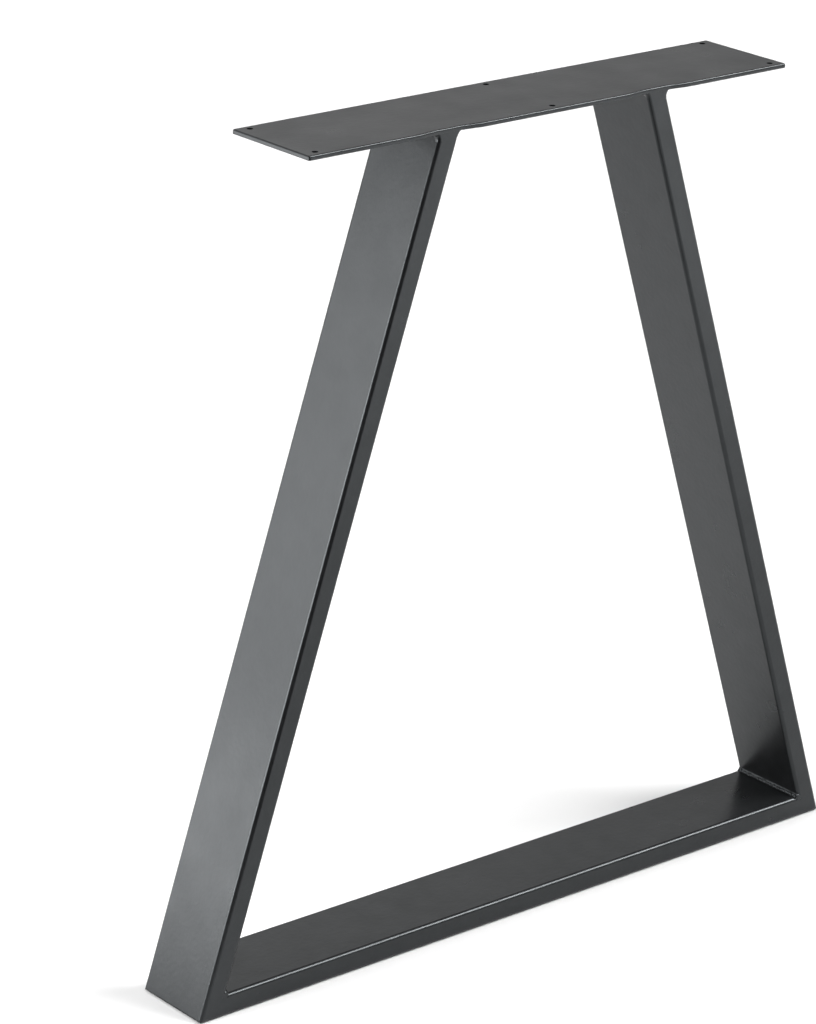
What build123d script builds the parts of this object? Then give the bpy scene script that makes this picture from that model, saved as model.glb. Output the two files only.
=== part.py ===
from build123d import *
import math
import os

# Trapezoidal frame leg for a table: three lengths of flat rectangular steel tube, mitred and
# welded into a frame that is wide at the floor, under a flat plate that screws to the table top.
# Millimetres. +X runs along the plate, +Y to the back and +Z up.
# The origin lies on the floor, in the middle of the floor rail.

# Frame, measured over the outside of the tubes
leg_height = 730.0  # floor to the top of the plate
floor_width = 720.0  # over the two floor corners
top_width = 246.5  # over the two legs, right under the plate

# Rectangular steel tube, with its wide side across the frame
tube_width = 80.0
tube_thickness = 20.0
tube_wall = 2.0
tube_corner = 3.5  # outer radius of the tube's four rounded edges
floor_corner = 2.5  # radius left where the outer mitre seam is ground smooth

# Mounting plate, set back so that most of its overhang is behind the tubes
plate_length = 520.0
plate_width = 100.0
plate_thickness = 4.0
plate_front_overhang = 3.0
plate_corner = 1.5  # radius of the four corners in plan
plate_top_edge = 1.0  # rounding of the edges that show
plate_bottom_edge = 0.4

# Six screw holes: one in each corner and one in the middle of each long edge
screw_hole = 5.5
hole_end_distance = 12.0
hole_edge_distance = 8.0

# Convex bead in each inner corner of the mitres
mitre_weld_leg = 4.0
mitre_weld_crown = 0.6  # how far the bead swells past a flat face
mitre_weld_end = 1.0  # rounding of the bead's two ends

# Welds between each leg and the plate: those in front are ground flush, those behind are not
plate_weld_outer_leg = 7.2  # on the side where the leg leans away from the plate
plate_weld_inner_leg = 5.2
plate_weld_outer_hollow = 6.0  # radius of the hollow face, nearly touching plate and leg
plate_weld_inner_hollow = 8.0
plate_weld_return = 10.0  # how far a weld runs back along the tube's wide sides
plate_weld_proud = 0.3  # what grinding leaves in front of the tube
back_weld_leg = 4.0
back_weld_toe = 0.4  # thickness of the rear weld at its lower edge

# The plate's front edge is ground back at each leg until it meets the weld
ground_width = 24.0
ground_run_out = 18.0
ground_radius = 60.0

# Lines of the frame
plate_underside = leg_height - plate_thickness
plate_front = -tube_width / 2 - plate_front_overhang
plate_middle = plate_front + plate_width / 2
lean = math.atan2((floor_width - top_width) / 2, plate_underside)
floor_angle = math.pi / 2 - lean  # between the floor rail and a leg
leg_slice = tube_thickness / math.cos(lean)  # width of a leg where it is cut level

up_leg = Vector(math.sin(lean), 0, math.cos(lean))
along_rail = Vector(1, 0, 0)
into_corner = Vector(math.cos(floor_angle / 2), 0, math.sin(floor_angle / 2))
left_floor_corner = Vector(-floor_width / 2, 0, 0)
left_inner_corner = left_floor_corner + into_corner * (tube_thickness / math.sin(floor_angle / 2))
left_leg_top_outer = Vector(-top_width / 2, 0, plate_underside)
left_leg_top_inner = left_leg_top_outer + along_rail * leg_slice
left_leg_top = (left_leg_top_outer + left_leg_top_inner) * 0.5

# A tube's section is drawn square to its length, and the two mitres halve the floor corners
leg_section = Plane(origin=left_leg_top, x_dir=(0, 1, 0), z_dir=up_leg)
rail_section = Plane(origin=(0, 0, tube_thickness / 2), x_dir=(0, 1, 0), z_dir=along_rail)
mitre_normal = Vector(-math.sin(floor_angle / 2), 0, math.cos(floor_angle / 2))
left_mitre = Plane(origin=left_floor_corner, x_dir=(0, 1, 0), z_dir=mitre_normal)
right_mitre = Plane(
    origin=(floor_width / 2, 0, 0),
    x_dir=(0, 1, 0),
    z_dir=(-mitre_normal.X, 0, mitre_normal.Z),
)
top_cut = Plane.XY.offset(plate_underside)


def in_frame(point):
    """Give a point of the frame's middle plane as sketch coordinates on Plane.XZ."""
    return (point.X, point.Z)


def tube_profile():
    """Draw the tube's hollow section in the sketch that is open."""
    RectangleRounded(tube_width, tube_thickness, tube_corner)
    RectangleRounded(
        tube_width - 2 * tube_wall,
        tube_thickness - 2 * tube_wall,
        max(tube_corner - tube_wall, tube_wall / 10),
        mode=Mode.SUBTRACT,
    )


# What grinding takes off the two sharp floor corners, seen from the front
corner_reach = floor_corner / math.tan(floor_angle / 2)
corner_on_floor = left_floor_corner + along_rail * corner_reach
corner_on_leg = left_floor_corner + up_leg * corner_reach
with BuildSketch(Plane.XZ) as ground_corners:
    with BuildLine():
        Line(in_frame(left_floor_corner), in_frame(corner_on_floor))
        TangentArc(in_frame(corner_on_floor), in_frame(corner_on_leg), tangent=(-1, 0))
        Line(in_frame(corner_on_leg), in_frame(left_floor_corner))
    make_face()
    mirror(about=Plane.YZ)

os.makedirs("parts", exist_ok=True)

# Left leg: cut level under the plate and mitred at the floor
with BuildPart() as left_leg_tube:
    with BuildSketch(leg_section):
        tube_profile()
    extrude(amount=2 * leg_height, both=True)
    split(bisect_by=top_cut, keep=Keep.BOTTOM)
    split(bisect_by=left_mitre, keep=Keep.TOP)
    extrude(ground_corners.sketch, amount=tube_width / 2, both=True, mode=Mode.SUBTRACT)

with BuildPart() as right_leg_tube:
    mirror(left_leg_tube.part, about=Plane.YZ)

# Floor rail: mitred at both ends
with BuildPart() as floor_rail_tube:
    with BuildSketch(rail_section):
        tube_profile()
    extrude(amount=floor_width, both=True)
    split(bisect_by=left_mitre, keep=Keep.BOTTOM)
    split(bisect_by=right_mitre, keep=Keep.BOTTOM)
    extrude(ground_corners.sketch, amount=tube_width / 2, both=True, mode=Mode.SUBTRACT)

# Mounting plate, with a shallow ground recess in its front edge at each leg
ground_depth = plate_front_overhang - plate_weld_proud
recess = [
    (left_leg_top.X - ground_width / 2 - ground_run_out, plate_front),
    (left_leg_top.X - ground_width / 2, plate_front + ground_depth),
    (left_leg_top.X + ground_width / 2, plate_front + ground_depth),
    (left_leg_top.X + ground_width / 2 + ground_run_out, plate_front),
]
with BuildPart() as mounting_plate:
    with BuildSketch(top_cut) as plate_outline:
        with Locations((0, plate_middle)):
            Rectangle(plate_length, plate_width)
        with BuildLine():
            Polyline(*recess, close=True)
        make_face(mode=Mode.SUBTRACT)
        with BuildLine():
            Polyline(*[(-x, y) for x, y in recess], close=True)
        make_face(mode=Mode.SUBTRACT)
        recess_corners = plate_outline.vertices().group_by(Axis.X)[1:-1]
        fillet([corner for group in recess_corners for corner in group], ground_radius)
        left_end, *_, right_end = plate_outline.vertices().group_by(Axis.X)
        fillet(left_end + right_end, plate_corner)
    extrude(amount=plate_thickness)
    fillet(mounting_plate.faces().sort_by(Axis.Z)[-1].edges(), plate_top_edge)
    fillet(mounting_plate.faces().sort_by(Axis.Z)[0].edges(), plate_bottom_edge)
    corner_spacing = (plate_length - 2 * hole_end_distance, plate_width - 2 * hole_edge_distance)
    with Locations((0, plate_middle, leg_height)):
        with GridLocations(corner_spacing[0] / 2, corner_spacing[1], 3, 2):
            Hole(screw_hole / 2, depth=plate_thickness)

# Bead in the left inner corner, between the rail's top and the leg's inner side
with BuildPart() as left_mitre_weld:
    on_rail = left_inner_corner + along_rail * mitre_weld_leg
    on_leg = left_inner_corner + up_leg * mitre_weld_leg
    crown = (on_rail + on_leg) * 0.5 + into_corner * mitre_weld_crown
    with BuildSketch(Plane.XZ):
        with BuildLine():
            Line(in_frame(left_inner_corner), in_frame(on_rail))
            ThreePointArc(in_frame(on_rail), in_frame(crown), in_frame(on_leg))
            Line(in_frame(on_leg), in_frame(left_inner_corner))
        make_face()
    extrude(amount=tube_width / 2 - tube_corner, both=True)
    fillet(left_mitre_weld.edges().filter_by(GeomType.CIRCLE), mitre_weld_end)

with BuildPart() as right_mitre_weld:
    mirror(left_mitre_weld.part, about=Plane.YZ)

# Front weld of the left leg, ground flush: a hollow flare on each side of the tube
with BuildPart() as left_front_plate_weld:
    outer_toe = left_leg_top_outer - along_rail * plate_weld_outer_leg
    outer_foot = left_leg_top_outer - up_leg * plate_weld_outer_leg
    inner_foot = left_leg_top_inner - up_leg * plate_weld_inner_leg
    inner_toe = left_leg_top_inner + along_rail * plate_weld_inner_leg
    front_face = tube_width / 2 + plate_weld_proud
    with BuildSketch(Plane.XZ.offset(front_face)):
        with BuildLine():
            RadiusArc(in_frame(outer_toe), in_frame(outer_foot), plate_weld_outer_hollow)
            Line(in_frame(outer_foot), in_frame(inner_foot))
            RadiusArc(in_frame(inner_foot), in_frame(inner_toe), plate_weld_inner_hollow)
            Line(in_frame(inner_toe), in_frame(outer_toe))
        make_face()
    extrude(amount=-plate_weld_return - plate_weld_proud)
    with BuildSketch(leg_section):
        RectangleRounded(tube_width, tube_thickness, tube_corner)
    extrude(amount=leg_height, both=True, mode=Mode.SUBTRACT)

with BuildPart() as right_front_plate_weld:
    mirror(left_front_plate_weld.part, about=Plane.YZ)

# Back weld of the left leg: a plain fillet round the tube's narrow back side
with BuildPart() as left_back_plate_weld:
    weld_foot = left_leg_top - up_leg * (back_weld_leg / math.cos(lean))
    with BuildSketch(top_cut):
        with Locations((left_leg_top.X, 0)):
            RectangleRounded(
                leg_slice + 2 * back_weld_leg,
                tube_width + 2 * back_weld_leg,
                tube_corner + back_weld_leg,
            )
    with BuildSketch(top_cut.offset(-back_weld_leg)):
        with Locations((weld_foot.X, 0)):
            RectangleRounded(
                leg_slice + 2 * back_weld_toe,
                tube_width + 2 * back_weld_toe,
                tube_corner + back_weld_toe,
            )
    loft()
    with BuildSketch(leg_section):
        RectangleRounded(tube_width, tube_thickness, tube_corner)
    extrude(amount=leg_height, both=True, mode=Mode.SUBTRACT)
    split(bisect_by=Plane.XZ.offset(plate_weld_return - tube_width / 2), keep=Keep.BOTTOM)

with BuildPart() as right_back_plate_weld:
    mirror(left_back_plate_weld.part, about=Plane.YZ)

pieces = {
    "mounting_plate": mounting_plate,
    "left_leg_tube": left_leg_tube,
    "right_leg_tube": right_leg_tube,
    "floor_rail_tube": floor_rail_tube,
    "left_mitre_weld": left_mitre_weld,
    "right_mitre_weld": right_mitre_weld,
    "left_front_plate_weld": left_front_plate_weld,
    "right_front_plate_weld": right_front_plate_weld,
    "left_back_plate_weld": left_back_plate_weld,
    "right_back_plate_weld": right_back_plate_weld,
}
for name, piece in pieces.items():
    piece.part.label = name
    export_step(piece.part, f"parts/{name}.step")
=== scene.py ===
# %% [markdown]
# # A trapezoidal table leg of welded flat tube
# This lesson dresses a packed steel table leg: three lengths of rectangular tube, a drilled plate and
# the welds between them, all in one dark satin powder coat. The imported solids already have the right
# size and place, so they are the frame, and every new piece is fitted to them in metres.

import math
import random

import bmesh
import bpy
from mathutils import Matrix, Vector


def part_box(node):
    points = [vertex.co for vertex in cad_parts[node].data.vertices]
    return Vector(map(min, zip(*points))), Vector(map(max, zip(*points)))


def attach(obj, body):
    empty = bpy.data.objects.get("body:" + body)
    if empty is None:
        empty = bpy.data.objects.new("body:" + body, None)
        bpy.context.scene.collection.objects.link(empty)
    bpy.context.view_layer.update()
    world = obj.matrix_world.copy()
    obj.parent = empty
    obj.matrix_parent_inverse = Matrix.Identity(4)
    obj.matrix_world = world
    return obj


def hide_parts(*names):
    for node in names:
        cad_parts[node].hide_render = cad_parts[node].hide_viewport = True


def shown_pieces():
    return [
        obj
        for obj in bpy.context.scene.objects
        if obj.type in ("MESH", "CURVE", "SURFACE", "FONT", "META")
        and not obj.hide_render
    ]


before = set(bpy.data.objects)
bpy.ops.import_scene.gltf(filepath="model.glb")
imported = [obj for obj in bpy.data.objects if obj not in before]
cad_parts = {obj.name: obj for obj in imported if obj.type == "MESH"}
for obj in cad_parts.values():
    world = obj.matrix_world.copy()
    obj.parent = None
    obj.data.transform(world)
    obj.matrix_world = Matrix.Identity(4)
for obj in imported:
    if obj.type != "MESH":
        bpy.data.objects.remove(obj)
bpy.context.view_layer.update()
print("nodes", sorted(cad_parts))

# %% [markdown]
# The sizes come from the frame itself. The plate's box gives its length, width and thickness, and the
# floor rail's box gives the tube's section. What a box can't tell is the width of the frame at its foot
# and at its head, from which the lean of the legs follows.

# %% Sizes
MM = 0.001
FLOOR_WIDTH = 720 * MM
TOP_WIDTH = 246.5 * MM

plate_low, plate_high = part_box("mounting_plate")
rail_low, rail_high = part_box("floor_rail_tube")
plate_size = plate_high - plate_low
plate_middle = (plate_low + plate_high) / 2
plate_underside = plate_low.z
tube_width = rail_high.y - rail_low.y
tube_thickness = rail_high.z - rail_low.z

lean = math.atan2((FLOOR_WIDTH - TOP_WIDTH) / 2, plate_underside)
floor_angle = math.pi / 2 - lean
leg_slice = tube_thickness / math.cos(lean)
print("plate", [round(x / MM, 2) for x in plate_size], "mm")
print("tube", round(tube_width / MM, 2), "x", round(tube_thickness / MM, 2), "mm")
print("lean", round(math.degrees(lean), 2), "degrees")

# %% [markdown]
# The left half is worked out once and the right half is its mirror image, so each point of the left
# leg has a name. A leg and the rail meet on the line that halves the floor corner.

# %% Points of the left half
up_leg = Vector((math.sin(lean), 0, math.cos(lean)))
along_rail = Vector((1, 0, 0))
front_to_back = Vector((0, 1, 0))
into_corner = Vector((math.cos(floor_angle / 2), 0, math.sin(floor_angle / 2)))
mitre_normal = Vector((-math.sin(floor_angle / 2), 0, math.cos(floor_angle / 2)))
floor_corner_point = Vector((-FLOOR_WIDTH / 2, 0, 0))
inner_corner_point = floor_corner_point + into_corner * (tube_thickness / math.sin(floor_angle / 2))
leg_top_outer = Vector((-TOP_WIDTH / 2, 0, plate_underside))
leg_top_inner = leg_top_outer + along_rail * leg_slice
leg_top = (leg_top_outer + leg_top_inner) / 2


def mirrored(vector):
    """The same point or direction on the right half."""
    return Vector((-vector.x, vector.y, vector.z))


print("inner floor corner", [round(x, 4) for x in inner_corner_point])

# %% [markdown]
# ## Working by hand
# Every piece is modelled as by hand, one operator after another. An operator acts on all that is
# selected, and the loaded nodes start out selected, so a few small tools keep the selection clean.

# %% Tools to start a piece
def start_clean():
    """Leave edit mode and select nothing."""
    if bpy.context.object and bpy.context.object.mode != "OBJECT":
        bpy.ops.object.mode_set(mode="OBJECT")
    bpy.ops.object.select_all(action="DESELECT")


def select_only(piece):
    """Leave edit mode, select one piece and make it the active one."""
    start_clean()
    piece.select_set(True)
    bpy.context.view_layer.objects.active = piece


def take_new(name):
    """Name the primitive that was just added and open it in edit mode, all selected."""
    piece = bpy.context.object
    piece.name = name
    piece.data.name = name
    bpy.ops.object.mode_set(mode="EDIT")
    bpy.ops.mesh.select_mode(type="VERT")
    bpy.ops.mesh.select_all(action="SELECT")
    return piece


# %% Tools for edit mode
def extrude(step):
    """Extrude what is selected by a step."""
    bpy.ops.mesh.extrude_region_move(TRANSFORM_OT_translate={"value": step})


def saw(point, normal, fill=False):
    """Cut the piece along a plane and drop what is on the normal's side."""
    bpy.ops.mesh.select_all(action="SELECT")
    bpy.ops.mesh.bisect(plane_co=point, plane_no=normal, use_fill=fill, clear_outer=True)


def turn_outwards():
    """Turn all faces of the piece outwards."""
    bpy.ops.mesh.select_all(action="SELECT")
    bpy.ops.mesh.normals_make_consistent(inside=False)


# %% [markdown]
# A finished piece is shaded smooth over its roundings only. Its flat faces have to stay dead flat beside
# them, because a satin coat shows every false bend in the shading, so the normals are weighted by face area.

# %% Tools to finish a piece
SHARP_EDGE = 35
AREA_WEIGHT = 100


def add_modifier(piece, kind, **settings):
    """Add a modifier, set it and apply it."""
    bpy.context.view_layer.objects.active = piece
    bpy.ops.object.modifier_add(type=kind)
    modifier = piece.modifiers[-1]
    for name, value in settings.items():
        setattr(modifier, name, value)
    bpy.ops.object.modifier_apply(modifier=modifier.name)


def shade(piece, degrees):
    """Shade a piece smooth, apart from edges sharper than that."""
    select_only(piece)
    bpy.ops.object.shade_smooth_by_angle(angle=math.radians(degrees))


def smooth(piece):
    """Shade rounded edges smooth and keep the flat faces flat."""
    shade(piece, SHARP_EDGE)
    add_modifier(piece, "WEIGHTED_NORMAL", keep_sharp=True, weight=AREA_WEIGHT)


def mirror_copy(piece, name):
    """Copy a left piece to the right side, with its own mesh and its faces turned outwards."""
    select_only(piece)
    bpy.ops.object.duplicate()
    copy = bpy.context.object
    copy.name = name
    copy.data.name = name
    copy.scale.x = -1
    bpy.ops.object.transform_apply(location=True, rotation=True, scale=True)
    bpy.ops.object.mode_set(mode="EDIT")
    turn_outwards()
    bpy.ops.object.mode_set(mode="OBJECT")
    return copy


def finish_piece(piece, node):
    """Ride on the frame and stand for the node, whose part is hidden."""
    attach(piece, "root")
    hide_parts(node)
    print(piece.name, len(piece.data.polygons), "faces, for", node)


# %% [markdown]
# ## The tubes
# Each tube is a length of drawn rectangular section, sawn to a mitre at the floor. A plain box with
# bevelled edges would look alike from outside, but a section that is rounded, hollowed by an inset and
# extruded is how the tube is really made, and the saw cuts then show its true wall.

# %% Draw a tube and lay it in place
TUBE_CORNER = 3.5 * MM
TUBE_WALL = 2 * MM
EDGE_STEPS = 10


def draw_tube(name, length):
    """A hollow tube along +Z, its wide side along X, starting at the origin."""
    start_clean()
    bpy.ops.mesh.primitive_plane_add(size=1)
    tube = take_new(name)
    bpy.ops.transform.resize(value=(tube_width, tube_thickness, 1))
    bpy.ops.mesh.bevel(offset=TUBE_CORNER, segments=EDGE_STEPS, profile=0.5, affect="VERTICES")
    bpy.ops.mesh.select_all(action="SELECT")
    bpy.ops.mesh.inset(thickness=TUBE_WALL, use_even_offset=True)
    bpy.ops.mesh.delete(type="FACE")
    bpy.ops.mesh.select_all(action="SELECT")
    extrude((0, 0, length))
    turn_outwards()
    return tube


def lay_tube(tube, start, direction):
    """Lay a drawn tube from start along direction, wide from front to back, ready for the saw."""
    thin = front_to_back.cross(direction)
    axes = Matrix((front_to_back, -thin, direction)).transposed().to_4x4()
    bpy.ops.object.mode_set(mode="OBJECT")
    tube.matrix_world = Matrix.Translation(start) @ axes
    bpy.ops.object.transform_apply(location=True, rotation=True, scale=True)
    bpy.ops.object.mode_set(mode="EDIT")


# %% [markdown]
# The outer seam of a mitre is ground round until it no longer shows. A bevel would have to follow two
# pieces at once, so each piece gets the same few flat cuts, which are chords of one arc.

# %% Saw a tube and grind its floor corner
FLOOR_CORNER = 2.5 * MM
GRIND_CUTS = 8


def saw_tube(point, normal):
    """Saw a hollow tube and close the wall's cut end with a ring of faces."""
    saw(point, normal)
    bpy.ops.mesh.bridge_edge_loops()


def grind_floor_corner(on_right=False):
    """Round the sharp outer corner of a mitre with flat cuts along one arc."""
    centre = floor_corner_point + into_corner * (FLOOR_CORNER / math.sin(floor_angle / 2))
    straight_down = math.radians(270)
    out_of_leg = math.pi - lean
    cut_turn = (out_of_leg - straight_down) / GRIND_CUTS
    for step in range(1, GRIND_CUTS):
        angle = straight_down + cut_turn * step
        outwards = Vector((math.cos(angle), 0, math.sin(angle)))
        point = centre + outwards * FLOOR_CORNER * math.cos(cut_turn / 2)
        if on_right:
            point, outwards = mirrored(point), mirrored(outwards)
        saw(point, outwards, fill=True)


# %% [markdown]
# A leg is cut from a length of tube that starts well below the floor and ends above the plate, so both of
# its saw cuts are clean.

# %% Make the legs
STOCK_BELOW_PLATE = 0.75

leg_stock = 2 * plate_underside
left_leg = draw_tube("left_leg", leg_stock)
lay_tube(left_leg, leg_top - up_leg * leg_stock * STOCK_BELOW_PLATE, up_leg)
saw_tube(leg_top, Vector((0, 0, 1)))
saw_tube(floor_corner_point, -mitre_normal)
grind_floor_corner()
smooth(left_leg)
right_leg = mirror_copy(left_leg, "right_leg")
smooth(right_leg)

# %% [markdown]
# The rail lies flat on the floor and is mitred at both ends, so it is sawn and ground twice.

# %% Make the floor rail
floor_rail = draw_tube("floor_rail", 2 * FLOOR_WIDTH)
lay_tube(floor_rail, Vector((-FLOOR_WIDTH, 0, tube_thickness / 2)), along_rail)
saw_tube(floor_corner_point, mitre_normal)
saw_tube(mirrored(floor_corner_point), mirrored(mitre_normal))
grind_floor_corner()
grind_floor_corner(on_right=True)
smooth(floor_rail)

finish_piece(left_leg, "left_leg_tube")
finish_piece(right_leg, "right_leg_tube")
finish_piece(floor_rail, "floor_rail_tube")

# %% [markdown]
# ## The mounting plate
# The plate is flat sheet steel, cut to size, drilled and broken along its edges. It starts as a block of
# the plate's own size, whose four upright edges are rounded first. Edges and points are chosen in code by
# where they lie, as a hand would choose them with the mouse.

# %% Cut the plate
PLATE_CORNER = 1.8 * MM
PLATE_CORNER_STEPS = 4


def pick(piece, kind, test):
    """Select the vertices or edges, in edit mode, whose middle passes the test."""
    modes = {"verts": "VERT", "edges": "EDGE"}
    bpy.ops.mesh.select_mode(type=modes[kind])
    bpy.ops.mesh.select_all(action="DESELECT")
    mesh = bmesh.from_edit_mesh(piece.data)
    count = 0
    for part in getattr(mesh, kind):
        points = [part.co] if kind == "verts" else [vert.co for vert in part.verts]
        if test(sum(points, Vector()) / len(points), part):
            part.select_set(True)
            count += 1
    mesh.select_flush_mode()
    bmesh.update_edit_mesh(piece.data)
    return count


def is_upright(middle, edge):
    """Whether an edge runs from the plate's underside to its top."""
    return abs(edge.verts[0].co.z - edge.verts[1].co.z) > plate_size.z / 2


start_clean()
bpy.ops.mesh.primitive_cube_add(size=1, location=plate_middle)
bpy.context.object.scale = plate_size
bpy.ops.object.transform_apply(location=True, rotation=True, scale=True)
plate = take_new("plate")
print("plate corners", pick(plate, "edges", is_upright))
bpy.ops.mesh.bevel(offset=PLATE_CORNER, segments=PLATE_CORNER_STEPS, affect="EDGES")

# %% [markdown]
# Where each leg is welded on, the plate's front edge was ground back until it met the weld. Cuts across
# the plate give that edge the points it needs, and each point is then pushed back by a smooth curve.

# %% Grind the front edge back
GROUND_DEPTH = 2.7 * MM
GROUND_WIDTH = 18 * MM
GROUND_RUN_OUT = 28 * MM
RUN_OUT_STEPS = 12
SAME_STATION = 0.001 * MM


def ease(share):
    """A smooth step from 0 to 1."""
    share = min(max(share, 0.0), 1.0)
    return share * share * (3 - 2 * share)


def ground_back(x):
    """How far the front edge is ground back at x."""
    beyond = abs(abs(x) - abs(leg_top.x)) - GROUND_WIDTH / 2
    return GROUND_DEPTH * (1 - ease(beyond / GROUND_RUN_OUT))


def on_front_edge(x):
    """A test for the points of the front edge at x."""
    return lambda point, vert: abs(point.x - x) < SAME_STATION and point.y < plate_low.y + PLATE_CORNER / 2


# The cuts lie at half steps beyond both ends of the stretch that is ground flat
for side in (-1, 1):
    for step in range(-RUN_OUT_STEPS, RUN_OUT_STEPS + 1):
        beyond = (step - 0.5) / RUN_OUT_STEPS * GROUND_RUN_OUT
        cut_x = side * (abs(leg_top.x) + beyond + math.copysign(GROUND_WIDTH / 2, beyond))
        bpy.ops.mesh.select_all(action="SELECT")
        bpy.ops.mesh.bisect(plane_co=(cut_x, 0, 0), plane_no=along_rail)
stations = {round(vert.co.x, 6) for vert in bmesh.from_edit_mesh(plate.data).verts}
moved = 0
for station in sorted(stations):
    if ground_back(station) > 0:
        moved += pick(plate, "verts", on_front_edge(station))
        bpy.ops.transform.translate(value=front_to_back * ground_back(station))
print("front edge points ground back:", moved)

# %% [markdown]
# The edges on top show from above and are well rounded. Those below are only broken lightly, and a bevel
# does both, on edges chosen by their height.

# %% Break the plate's edges
PLATE_TOP_EDGE = 1.6 * MM
PLATE_TOP_STEPS = 6
PLATE_BOTTOM_EDGE = 0.3 * MM
PLATE_BOTTOM_STEPS = 2
TOUCHING = 0.01 * MM
STEEP = 0.5


def on_rim(z):
    """A test for the edges between a flat face of the plate at z and its side."""
    return lambda middle, edge: abs(middle.z - z) < TOUCHING and any(
        abs(face.normal.z) < STEEP for face in edge.link_faces
    )


turn_outwards()
for z, radius, steps in (
    (plate_high.z, PLATE_TOP_EDGE, PLATE_TOP_STEPS),
    (plate_low.z, PLATE_BOTTOM_EDGE, PLATE_BOTTOM_STEPS),
):
    print("rim edges", pick(plate, "edges", on_rim(z)))
    bpy.ops.mesh.bevel(offset=radius, segments=steps, affect="EDGES")

# %% [markdown]
# The screws to the table top go through six plain holes, one in each corner and one in the middle of each
# long edge. They are drilled last, with a boolean, so that no bevel runs into their rims.

# %% Drill the six screw holes
SCREW_HOLE = 5.5 * MM
HOLE_END_DISTANCE = 12 * MM
HOLE_EDGE_DISTANCE = 8 * MM
HOLE_SIDES = 48


def join(pieces):
    """Join several objects into the first one."""
    start_clean()
    for piece in pieces:
        piece.select_set(True)
    bpy.context.view_layer.objects.active = pieces[0]
    bpy.ops.object.join()
    return bpy.context.object


start_clean()
hole_x = plate_size.x / 2 - HOLE_END_DISTANCE
hole_y = plate_size.y / 2 - HOLE_EDGE_DISTANCE
drill_length = 3 * plate_size.z
drills = []
for x in (-hole_x, 0, hole_x):
    for y in (-hole_y, hole_y):
        bpy.ops.mesh.primitive_cylinder_add(
            vertices=HOLE_SIDES,
            radius=SCREW_HOLE / 2,
            depth=drill_length,
            location=plate_middle + Vector((x, y, 0)),
        )
        drills.append(bpy.context.object)
drill = join(drills)
select_only(plate)
add_modifier(plate, "BOOLEAN", object=drill, operation="DIFFERENCE", solver="EXACT")
bpy.data.objects.remove(drill)
smooth(plate)
finish_piece(plate, "mounting_plate")

# %% [markdown]
# ## The front plate welds
# In front, where a table's owner sees it, each weld was ground flush. What is left is a hollow flare on
# either side of the tube that runs into the plate, with the tube's rounded edge carried along it. Both
# hollows are arcs that touch the plate and the leg, so they leave the steel without a corner.

# %% Work out the two hollows
OUTER_HOLLOW = 5.2 * MM
INNER_HOLLOW = 7.0 * MM
WELD_PROUD = 0.15 * MM


def hollow(corner, first, second, radius):
    """Centre, ends and turn of an arc that touches the two sides of a corner."""
    corner_angle = math.acos(first.dot(second))
    reach = radius / math.tan(corner_angle / 2)
    inwards = (first + second).normalized()
    centre = corner + inwards * (radius / math.sin(corner_angle / 2))
    return centre, corner + first * reach, corner + second * reach, math.pi - corner_angle


front_y = rail_low.y - WELD_PROUD
to_front = front_to_back * front_y
outer_centre, outer_toe, outer_foot, outer_turn = hollow(leg_top_outer, -along_rail, -up_leg, OUTER_HOLLOW)
inner_centre, inner_toe, inner_foot, inner_turn = hollow(leg_top_inner, along_rail, -up_leg, INNER_HOLLOW)
print("hollows turn", [round(math.degrees(turn), 1) for turn in (outer_turn, inner_turn)], "degrees")

# %% [markdown]
# One point is the start of the outline. It is spun into the first hollow, extruded across the tube and
# spun again. The outline also rises a little into the plate at both ends, so that the edge rounding
# that comes next has a corner to turn at, and not a hollow that fades out along the plate.

# %% Draw the weld's outline
WELD_RETURN = 10 * MM
FLARE_RISE = 8.0 * MM
ARC_STEPS = 10


def start_point(name, point):
    """Start a piece as one point, in edit mode."""
    start_clean()
    bpy.ops.mesh.primitive_plane_add(size=MM)
    piece = take_new(name)
    bpy.ops.mesh.merge(type="CENTER")
    bpy.ops.transform.translate(value=point)
    return piece


def spin_hollow(centre, turn):
    """Spin the point that is selected into a hollow, seen from the front."""
    bpy.ops.mesh.spin(steps=ARC_STEPS, angle=-turn, center=centre, axis=front_to_back)


def close_and_extrude(depth):
    """Close an outline and extrude it to the back."""
    bpy.ops.mesh.select_all(action="SELECT")
    bpy.ops.mesh.remove_doubles(threshold=TOUCHING)
    bpy.ops.mesh.edge_face_add()
    bpy.ops.mesh.select_all(action="SELECT")
    extrude((0, depth, 0))
    turn_outwards()


rise = Vector((0, 0, FLARE_RISE))
left_front_weld = start_point("left_front_weld", outer_toe + to_front + rise)
extrude(-rise)
spin_hollow(outer_centre + to_front, outer_turn)
extrude(inner_foot - outer_foot)
spin_hollow(inner_centre + to_front, inner_turn)
extrude(rise)
close_and_extrude(WELD_RETURN)
print("outline reaches", round((inner_toe.x - outer_toe.x) / MM, 1), "mm along the plate")

# %% [markdown]
# The grinder left the front edge as round as the tube's own, and let the weld run out gently on the tube's
# wide sides. What stands above the plate's underside is sawn off.

# %% Round the front welds
FLARE_EDGE = 3.2 * MM
FLARE_END = 6.0 * MM
FLARE_STEPS = 6
FACE_REACH = 0.2 * MM


def on_outline(y):
    """A test for the outline's edges at y, without the long one that closes it."""
    return lambda middle, edge: edge.calc_length() < FLARE_RISE + MM and abs(middle.y - y) < FACE_REACH


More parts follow.
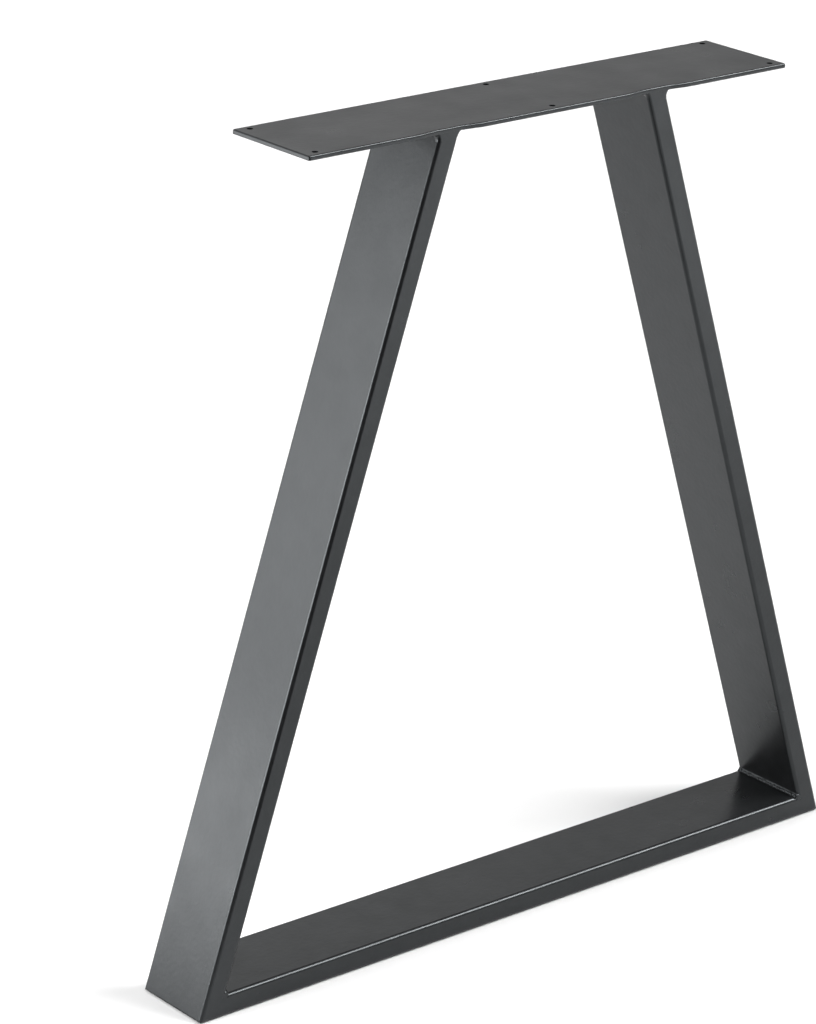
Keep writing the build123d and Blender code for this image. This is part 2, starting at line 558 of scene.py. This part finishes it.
for y, radius in ((front_y, FLARE_EDGE), (front_y + WELD_RETURN, FLARE_END)):
    print("rounded edges", pick(left_front_weld, "edges", on_outline(y)))
    bpy.ops.mesh.bevel(offset=radius, segments=FLARE_STEPS, affect="EDGES")
saw((0, 0, plate_underside + WELD_PROUD), (0, 0, 1), fill=True)
smooth(left_front_weld)
right_front_weld = mirror_copy(left_front_weld, "right_front_weld")
smooth(right_front_weld)
finish_piece(left_front_weld, "left_front_plate_weld")
finish_piece(right_front_weld, "right_front_plate_weld")

# %% [markdown]
# ## The rippled welds
# The welds in the floor corners and behind the legs were left as they came from the torch: a row of small
# overlapping ripples. One ripple is modelled, copied along the seam with a little unevenness, and the row is
# melted into one skin by a voxel remesh, as the steel was.

# %% Make the ripple
RIPPLE_RADIUS = 2.6 * MM
RIPPLE_LENGTH = 1.8 * MM
RIPPLE_SIDES = 24
RIPPLE_RINGS = 12

start_clean()
bpy.ops.mesh.primitive_uv_sphere_add(segments=RIPPLE_SIDES, ring_count=RIPPLE_RINGS, radius=1)
ripple = take_new("ripple")
bpy.ops.transform.resize(value=(RIPPLE_RADIUS, RIPPLE_LENGTH, RIPPLE_RADIUS))
bpy.ops.object.mode_set(mode="OBJECT")
print("ripple", [round(x / MM, 1) for x in ripple.dimensions], "mm")

# %% Tools to lay and trim a bead
RIPPLE_SMALLEST = 0.84
RIPPLE_LARGEST = 1.08
WANDER_MM = 0.2
SKIN_VOXEL = 0.3 * MM
BEAD_SHARP_EDGE = 50
hand = random.Random(5)


def spaced(first, last, pitch):
    """Even places from first to last, about a pitch apart."""
    count = int(abs(last - first) / pitch)
    return [first + (last - first) * step / count for step in range(count + 1)]


def lay_bead(name, stops, *cores):
    """Copy the ripple to each stop, a place, a heading and a size, and melt all into one skin."""
    row = list(cores)
    for centre, heading, size in stops:
        copy = ripple.copy()
        copy.data = ripple.data.copy()
        bpy.context.collection.objects.link(copy)
        copy.rotation_euler = (0, 0, heading)
        copy.scale = [size * hand.uniform(RIPPLE_SMALLEST, RIPPLE_LARGEST) for _ in range(3)]
        copy.location = centre + Vector([hand.uniform(-WANDER_MM, WANDER_MM) * MM for _ in range(3)])
        row.append(copy)
    bead = join(row)
    bead.name = name
    bead.data.name = name
    bpy.ops.object.transform_apply(location=True, rotation=True, scale=True)
    add_modifier(bead, "REMESH", mode="VOXEL", voxel_size=SKIN_VOXEL)
    add_modifier(bead, "SMOOTH", factor=0.5, iterations=1)
    return bead


def trim(bead, point, normal):
    """Cut a bead flat, close the cut and shade it."""
    select_only(bead)
    bpy.ops.object.mode_set(mode="EDIT")
    saw(point, normal, fill=True)
    shade(bead, BEAD_SHARP_EDGE)


# %% [markdown]
# In a floor corner the bead runs from back to front on a hollow core that fills the corner. The core is an
# outline with one spun arc, closed inside the steel, where nobody sees it.

# %% Make the core of a mitre weld
MITRE_HOLLOW = 3.2 * MM
MITRE_CORE_BACK = 38.5 * MM
BURIED = 1.2 * MM

centre, rail_toe, leg_toe, turn = hollow(inner_corner_point, along_rail, up_leg, MITRE_HOLLOW)
core_start = front_to_back * rail_low.y
mitre_core = start_point("mitre_core", rail_toe + core_start)
spin_hollow(centre + core_start, turn)
extrude(inner_corner_point - into_corner * BURIED - leg_toe)
close_and_extrude(MITRE_CORE_BACK - rail_low.y)
bpy.ops.object.mode_set(mode="OBJECT")
print("mitre core", [round(x / MM, 1) for x in mitre_core.dimensions], "mm")

# %% [markdown]
# The bead's front end was ground flush with the tubes, so a larger drop there fills the notch between their
# rounded edges and is cut off flat, with one small bead of spatter left beside it.

# %% Lay the mitre welds
RIPPLE_PITCH = 2.3 * MM
RIPPLE_DEPTH = 0.55 * MM
MITRE_RIPPLE_SIZE = 0.95
MITRE_BACK = 34.5 * MM
MITRE_FRONT = 37.2 * MM
DROP_SIZE = 1.7
SPATTER_DEPTH = 1.0 * MM
SPATTER_FRONT = 38.0 * MM
SPATTER_SIZE = 0.9
FLUSH = 0.05 * MM

stops = []
for y in spaced(MITRE_BACK, -MITRE_FRONT, RIPPLE_PITCH):
    centre = inner_corner_point + into_corner * RIPPLE_DEPTH + front_to_back * y
    stops.append((centre, 0, MITRE_RIPPLE_SIZE))
drop = inner_corner_point - into_corner * BURIED - front_to_back * MITRE_FRONT
stops.append((drop, 0, DROP_SIZE))
spatter = inner_corner_point + into_corner * SPATTER_DEPTH - front_to_back * SPATTER_FRONT
stops.append((spatter, 0, SPATTER_SIZE))
left_mitre_bead = lay_bead("left_mitre_bead", stops, mitre_core)
trim(left_mitre_bead, (0, rail_low.y + FLUSH, 0), -front_to_back)
right_mitre_bead = mirror_copy(left_mitre_bead, "right_mitre_bead")
shade(right_mitre_bead, BEAD_SHARP_EDGE)
finish_piece(left_mitre_bead, "left_mitre_weld")
finish_piece(right_mitre_bead, "right_mitre_weld")

# %% [markdown]
# Behind, a short bead follows one wide side of the tube, turns round the narrow back and comes forward again
# on the other side. The ripples lie closer here, so that the short bead melts into one even skin.

# %% Plan the back plate welds
BACK_DEPTH = 1.0 * MM
BACK_PITCH = 1.5 * MM
TURN_STEPS = 4
side_start = rail_high.y - WELD_RETURN
side_end = rail_high.y - TUBE_CORNER
back_left = leg_top_outer.x + TUBE_CORNER
back_right = leg_top_inner.x - TUBE_CORNER


def side_stops(corner, along_plate):
    """Stops along one wide side of the tube, from front to back."""
    inwards = (along_plate - up_leg).normalized()
    places = spaced(side_start, side_end, BACK_PITCH)
    return [(corner + inwards * BACK_DEPTH + front_to_back * y, 0, 1.0) for y in places]


def back_stops():
    """Stops along the narrow back of the tube."""
    down_and_back = Vector((0, 1, -1)).normalized()
    seam = [Vector((x, rail_high.y, plate_underside)) for x in spaced(back_left, back_right, BACK_PITCH)]
    return [(place + down_and_back * BACK_DEPTH, math.pi / 2, 1.0) for place in seam]


def corner_stops(corner_x, first):
    """Stops round a back corner of the tube, between a wide side and the back."""
    pivot = Vector((corner_x, side_end, plate_underside - BACK_DEPTH))
    angles = [first + (math.pi / 2 - first) * step / TURN_STEPS for step in range(1, TURN_STEPS)]
    reach = TUBE_CORNER + BACK_DEPTH / 2
    return [(pivot + Vector((math.cos(angle), math.sin(angle), 0)) * reach, angle, 1.0) for angle in angles]


stops = side_stops(leg_top_outer, -along_rail) + back_stops()
stops += corner_stops(back_left, math.pi) + corner_stops(back_right, 0)
stops += side_stops(leg_top_inner, along_rail)
print("back weld", len(stops), "ripples")

# %% Lay the back plate welds
left_back_bead = lay_bead("left_back_bead", stops)
trim(left_back_bead, (0, 0, plate_underside), (0, 0, 1))
right_back_bead = mirror_copy(left_back_bead, "right_back_bead")
shade(right_back_bead, BEAD_SHARP_EDGE)
finish_piece(left_back_bead, "left_back_plate_weld")
finish_piece(right_back_bead, "right_back_plate_weld")
bpy.data.objects.remove(ripple)

# %% [markdown]
# ## The powder coat
# Powder coat is melted plastic paint: nearly black here, with a satin gloss and a faint orange-peel skin.
# Most of the grey that the eye sees on it is reflected light, so the colour stays dark and the gloss does
# the rest. Broad noises move the tint and the gloss a little, and two fine ones bump the skin.

# %% Mix the powder coat
def mix_powder_coat():
    """Dark satin powder coat on object coordinates."""
    coat = bpy.data.materials.new("satin_powder_coat")
    coat.use_nodes = True
    nodes, links = coat.node_tree.nodes, coat.node_tree.links
    skin = nodes["Principled BSDF"]
    skin.inputs["IOR"].default_value = 1.42
    skin.inputs["Specular Tint"].default_value = (0.90, 0.96, 1, 1)
    place_node = nodes.new("ShaderNodeTexCoord")

    def noise(scale, detail):
        """A noise of that many cells a metre."""
        node = nodes.new("ShaderNodeTexNoise")
        node.inputs["Scale"].default_value = scale
        node.inputs["Detail"].default_value = detail
        links.new(place_node.outputs["Object"], node.inputs["Vector"])
        return node.outputs["Fac"]

    def bump(height, strength, distance):
        """A bump that stands that far out of the skin."""
        node = nodes.new("ShaderNodeBump")
        node.inputs["Strength"].default_value = strength
        node.inputs["Distance"].default_value = distance
        links.new(height, node.inputs["Height"])
        return node

    tint = nodes.new("ShaderNodeValToRGB")
    darkest, lightest = tint.color_ramp.elements
    darkest.position = 0.3
    darkest.color = (0.0062, 0.0066, 0.0070, 1)
    lightest.position = 0.7
    lightest.color = (0.0098, 0.0103, 0.0109, 1)
    links.new(noise(scale=60, detail=4), tint.inputs["Fac"])
    links.new(tint.outputs["Color"], skin.inputs["Base Color"])

    gloss = nodes.new("ShaderNodeMapRange")
    gloss.inputs["From Min"].default_value = 0.3
    gloss.inputs["From Max"].default_value = 0.7
    gloss.inputs["To Min"].default_value = 0.27
    gloss.inputs["To Max"].default_value = 0.33
    links.new(noise(scale=25, detail=3), gloss.inputs["Value"])
    links.new(gloss.outputs["Result"], skin.inputs["Roughness"])

    peel = bump(noise(scale=900, detail=2), strength=0.05, distance=0.3 * MM)
    sag = bump(noise(scale=220, detail=1), strength=1.0, distance=0.08 * MM)
    links.new(peel.outputs["Normal"], sag.inputs["Normal"])
    links.new(sag.outputs["Normal"], skin.inputs["Normal"])
    return coat


powder_coat = mix_powder_coat()
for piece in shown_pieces():
    piece.data.materials.clear()
    piece.data.materials.append(powder_coat)

# %% [markdown]
# ## The studio
# A dark satin surface is drawn by what it reflects, so the studio is a dome with soft boxes painted on it:
# a long one low on the left, a narrow bright key on the right in front, a pale wall behind with another
# above it, and a soft top. Lamps could make this light too, but a painted box gets a soft edge and needs no
# place to stand.

# %% Set up the dome
world = bpy.data.worlds.new("studio_dome")
bpy.context.scene.world = world
world.use_nodes = True
dome_nodes, dome_links = world.node_tree.nodes, world.node_tree.links
ray = dome_nodes.new("ShaderNodeTexCoord").outputs["Generated"]


def along(axis):
    """How far a ray of unit length reaches along an axis."""
    node = dome_nodes.new("ShaderNodeVectorMath")
    node.operation = "DOT_PRODUCT"
    node.inputs[1].default_value = axis
    dome_links.new(ray, node.inputs[0])
    return node.outputs["Value"]


def combine(operation, first, second):
    """A sum, product or the like of two numbers or sockets."""
    node = dome_nodes.new("ShaderNodeMath")
    node.operation = operation
    for socket, value in zip(node.inputs, (first, second)):
        if isinstance(value, (int, float)):
            socket.default_value = value
        else:
            dome_links.new(value, socket)
    return node.outputs["Value"]


def fade(value, half, soft):
    """1 inside half, falling to 0 over soft."""
    node = dome_nodes.new("ShaderNodeMapRange")
    node.interpolation_type = "SMOOTHSTEP"
    node.inputs["From Min"].default_value = half + soft / 2
    node.inputs["From Max"].default_value = half - soft / 2
    dome_links.new(combine("ABSOLUTE", value, 0), node.inputs["Value"])
    return node.outputs["Result"]


# %% [markdown]
# A box is bounded by how far a ray reaches along the box's own right and up directions. The light of all
# boxes is added to a dim base, which keeps the darkest faces from going black.

# %% Paint the soft boxes
# name, azimuth from +Y towards +X, elevation, half width, half height, soft edge, strength
SOFT_BOXES = [
    ("left", -50, 22, 0.36, 0.20, 0.2, 1.4),
    ("key", 128, 40, 0.32, 0.11, 0.08, 29.0),
    ("back wall", 40, 19, 0.6, 0.13, 0.12, 0.72),
    ("back top", 2, 38, 0.55, 0.2, 0.2, 0.8),
    ("top", 0, 90, 0.36, 0.36, 0.3, 2.8),
]
DOME_BASE = 0.03


def direction(azimuth, elevation):
    """The unit vector at an azimuth from +Y towards +X and an elevation, in degrees."""
    turn, lift = math.radians(azimuth), math.radians(elevation)
    return Vector((math.sin(turn) * math.cos(lift), math.cos(turn) * math.cos(lift), math.sin(lift)))


def paint_box(azimuth, elevation, half_width, half_height, soft, strength):
    """The light of one soft box on the dome."""
    facing = direction(azimuth, elevation)
    right = direction(azimuth + 90, 0)
    up = right.cross(facing)
    mask = combine("MULTIPLY", fade(along(right), half_width, soft), fade(along(up), half_height, soft))
    mask = combine("MULTIPLY", mask, combine("GREATER_THAN", along(facing), 0))
    return combine("MULTIPLY", mask, strength)


total = DOME_BASE
for name, *box in SOFT_BOXES:
    total = combine("ADD", paint_box(*box), total)
    print("soft box", name, "at", box[:2], "degrees")
background = dome_nodes["Background"]
background.inputs["Color"].default_value = (1, 1, 1, 1)
dome_links.new(total, background.inputs["Strength"])

# %% [markdown]
# Four cards stand close to the leg, just outside the picture. They are near, so each height of the leg
# sees another part of them, and the grey runs softly along the tube. A fifth lamp throws a pool of light on
# the floor in front, which the narrow front faces reflect.

# %% Stand the cards
CARD_SPREAD = 100


def stand_card(name, centre, target, width, height, strength):
    """A lit card at centre that faces target."""
    start_clean()
    turn = (Vector(target) - Vector(centre)).to_track_quat("-Z", "Y").to_euler()
    bpy.ops.object.light_add(type="AREA", location=centre, rotation=turn)
    card = bpy.context.object
    card.name = name
    card.data.shape = "RECTANGLE"
    card.data.size = width
    card.data.size_y = height
    card.data.spread = math.radians(CARD_SPREAD)
    card.data.energy = strength * width * height * math.pi
    card.visible_camera = False
    print("card", name, "strength", strength)


stand_card("left_card", (-1.07, 0.86, 0.62), (-0.24, 0, 0.62), 0.6, 0.60, 1.3)
stand_card("left_low_card", (-1.07, 0.86, 0.13), (-0.24, 0, 0.13), 0.6, 0.26, 1.8)
stand_card("left_strip_card", (-1.46, 0.25, 0.55), (-0.24, -0.04, 0.45), 0.5, 0.90, 5.2)
stand_card("back_card", (1.0, 1.15, 1.40), (0, 0, 0.73), 1.6, 0.7, 0.015)
stand_card("front_pool", (1.6, -2.05, 1.6), (1.6, -2.049, 0), 0.8, 0.8, 11.0)

# %% [markdown]
# Beside a dark shiny piece a photographer stands a black flag, and the rounded edges that turn towards it
# draw a black line. Less light on that side would dim the flat faces too, so a flag is the better way. Only
# reflections see this one, and it throws no shadow.

# %% Stand the black flag
FLAG_LEFT = Vector((-1.22, -0.21, 0))
FLAG_RIGHT = Vector((-0.12, -0.47, 0))
FLAG_HEIGHT = 1.3
FLAG_GREY = 0.01


def mix_matte(name, grey):
    """A dull grey without gloss."""
    matte = bpy.data.materials.new(name)
    matte.use_nodes = True
    skin = matte.node_tree.nodes["Principled BSDF"]
    skin.inputs["Base Color"].default_value = (grey, grey, grey, 1)
    skin.inputs["Roughness"].default_value = 0.9
    skin.inputs["Specular IOR Level"].default_value = 0
    return matte


flag = start_point("dark_flag", FLAG_LEFT)
extrude(FLAG_RIGHT - FLAG_LEFT)
bpy.ops.mesh.select_all(action="SELECT")
extrude((0, 0, FLAG_HEIGHT))
bpy.ops.object.mode_set(mode="OBJECT")
flag.data.materials.append(mix_matte("black_cloth", FLAG_GREY))
flag.visible_camera = False
flag.visible_diffuse = False
flag.visible_shadow = False
print("flag", [round(x, 2) for x in flag.dimensions], "m")

# %% [markdown]
# ## The floor
# A wide pale floor fills the picture behind the leg and keeps its soft shadow. It lies a hair below the
# rail, so that the two faces don't fight for the same place.

# %% Lay the floor
FLOOR_RADIUS = 40
FLOOR_SIDES = 96
FLOOR_DROP = 0.2 * MM
FLOOR_GREY = 0.8

start_clean()
bpy.ops.mesh.primitive_circle_add(
    vertices=FLOOR_SIDES,
    radius=FLOOR_RADIUS,
    fill_type="NGON",
    location=(0, 0, -FLOOR_DROP),
)
floor = bpy.context.object
floor.name = "floor"
floor.data.materials.append(mix_matte("pale_floor", FLOOR_GREY))
print("floor", 2 * FLOOR_RADIUS, "m across")

# %% [markdown]
# ## The camera
# A long lens from the left, a little above the plate, with the slight tilt of the photograph.

# %% Set up the camera
CAMERA_AZIMUTH = 219.93
CAMERA_ELEVATION = 20.41
CAMERA_ROLL = 1.37
CAMERA_DISTANCE = 3.5432
CAMERA_SIDE_STEP = -0.0880
CAMERA_LIFT = -0.0015
FOCAL_PIXELS = 4131.3
IMAGE_LONG_SIDE = 1024
SENSOR = 36.0
FARTHEST = 200

back = direction(CAMERA_AZIMUTH, CAMERA_ELEVATION)
level_right = (-back).cross(Vector((0, 0, 1))).normalized()
level_up = level_right.cross(-back)
roll = math.radians(CAMERA_ROLL)
right = level_right * math.cos(roll) + level_up * math.sin(roll)
up = level_up * math.cos(roll) - level_right * math.sin(roll)
aim = Vector((0, 0, plate_high.z / 2))
start_clean()
bpy.ops.object.camera_add(
    location=aim + back * CAMERA_DISTANCE + right * CAMERA_SIDE_STEP + up * CAMERA_LIFT,
    rotation=Matrix((right, up, back)).transposed().to_euler(),
)
camera = bpy.context.object
camera.data.sensor_width = SENSOR
camera.data.lens = FOCAL_PIXELS / IMAGE_LONG_SIDE * SENSOR
camera.data.clip_end = FARTHEST
bpy.context.scene.camera = camera
bpy.context.scene.view_settings.view_transform = "Standard"
print("lens", round(camera.data.lens, 1), "mm at", [round(x, 3) for x in camera.location])
